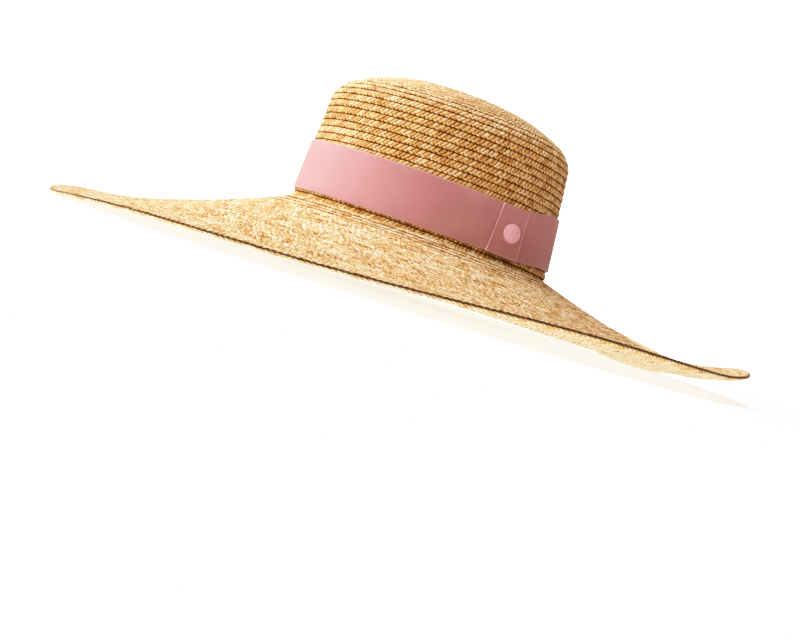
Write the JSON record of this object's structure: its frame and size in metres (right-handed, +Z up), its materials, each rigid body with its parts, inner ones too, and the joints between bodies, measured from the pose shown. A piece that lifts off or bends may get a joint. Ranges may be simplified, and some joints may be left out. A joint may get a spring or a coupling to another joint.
{
  "type": "boater hat",
  "caption": "Wide-brimmed boater hat of sewn straw braid with an oval hollow crown, a curled wavy brim and a flat strap closed by a tab and a round stud.",
  "frame": {"origin": "centre of the hat's box, on the surface that it rests on", "axes": "+Z up along the crown, -Y to the hat's front, +X to the wearer's left"},
  "size_m": [0.4886, 0.5214, 0.1566],
  "materials": {
    "straw": "plaited natural wheat straw, sewn in overlapping rows",
    "edge_straw": "plaited natural wheat straw, one row",
    "strap": "smooth dusty pink strap with a soft sheen",
    "button": "pink enamelled cap"
  },
  "bodies": {
    "root": {"crown": "straw", "brim": "straw", "edge_row": "edge_straw", "band": "strap", "band_tab": "strap", "button": "button"}
  },
  "joints": []
}
